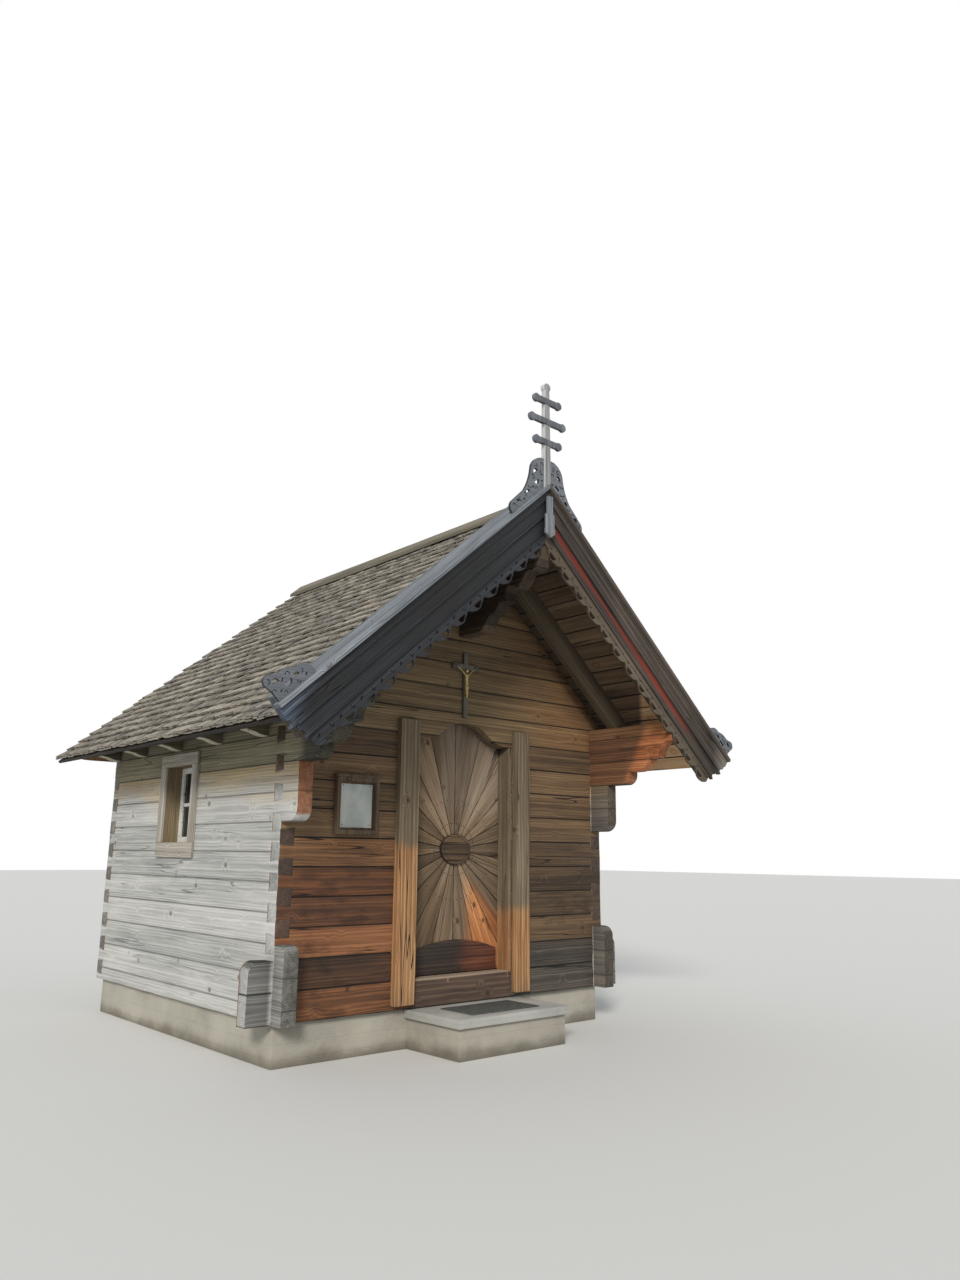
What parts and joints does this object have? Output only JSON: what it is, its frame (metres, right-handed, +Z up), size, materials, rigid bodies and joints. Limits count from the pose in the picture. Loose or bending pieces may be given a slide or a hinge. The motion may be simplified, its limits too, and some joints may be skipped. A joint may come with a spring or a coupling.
{
  "type": "small log chapel",
  "caption": "Small log chapel with dovetailed corners, a sunburst door that swings inwards, carved bargeboards, a shingled roof and a ridge cross.",
  "frame": {"origin": "on the ground, midway under the whole object", "axes": "+Z up; the front with the door faces -Y; +X to the right of someone facing the door"},
  "size_m": [4.3184, 3.893, 4.666],
  "materials": {
    "log_timber": "weathered hewn logs",
    "sawn_timber": "sawn boards and beams, shaded",
    "concrete": "pale concrete",
    "mat": "dark foot mat",
    "shingle": "weathered split shingles",
    "bargeboard": "weathered dark paint, with a red strip",
    "cross_board": "pale weathered board",
    "post_timber": "coarse grained pale timber",
    "door_board": "weathered tapered boards",
    "door_disc": "turned disc",
    "kickboard": "dark damp board",
    "iron": "forged iron",
    "casing": "bleached boards",
    "sash": "white painted sash",
    "pane": "window glass",
    "notice_frame": "small board with mouldings",
    "paper": "bare pale sheet",
    "crucifix_wood": "dark wood",
    "figure_gilt": "carved and gilded wood"
  },
  "bodies": {
    "chapel": {"plinth": "concrete", "step_block": "concrete", "step_slab": "concrete", "door_mat": "mat", "floor": "sawn_timber", "floor_sleepers": "sawn_timber", "front_wall_left": "log_timber", "front_wall_right": "log_timber", "front_gable": "log_timber", "left_wall": "log_timber", "right_wall": "log_timber", "back_wall": "log_timber", "left_plate": "log_timber", "right_plate": "log_timber", "eave_brackets_left": "sawn_timber", "eave_brackets_right": "sawn_timber", "ridge_beam": "sawn_timber", "ridge_bracket": "sawn_timber", "rafters_left": "sawn_timber", "rafters_right": "sawn_timber", "roof_boards_left": "sawn_timber", "roof_boards_right": "sawn_timber", "roof_boards_back": "sawn_timber", "shingles_left": "shingle", "shingles_right": "shingle", "shingles_back": "shingle", "ridge_cap": "shingle", "bargeboard_left": "bargeboard", "bargeboard_right": "bargeboard", "lower_board_left": "bargeboard", "lower_board_right": "bargeboard", "fretwork_left": "bargeboard", "fretwork_right": "bargeboard", "verge_plank_left": "bargeboard", "verge_plank_right": "bargeboard", "eave_ornaments": "bargeboard", "crest": "bargeboard", "ridge_cross": "cross_board", "apex_pendant": "cross_board", "door_posts": "post_timber", "threshold": "log_timber", "hinge_brackets": "iron", "window_frames": "casing", "window_sashes": "sash", "window_panes": "pane", "notice_board": "notice_frame", "notice_sheet": "paper", "crucifix": "crucifix_wood", "crucifix_figure": "figure_gilt"},
    "door": {"door_leaf": "door_board", "door_disc": "door_disc", "door_kickboard": "kickboard", "door_battens": "door_board", "door_straps": "iron"}
  },
  "joints": [
    {"name": "door_hinge", "type": "hinge", "parent": "chapel", "child": "door", "pos_m": [-0.418, -0.8385, 1.26], "axis": [0, 0, 1], "range_deg": [0, 95]}
  ]
}
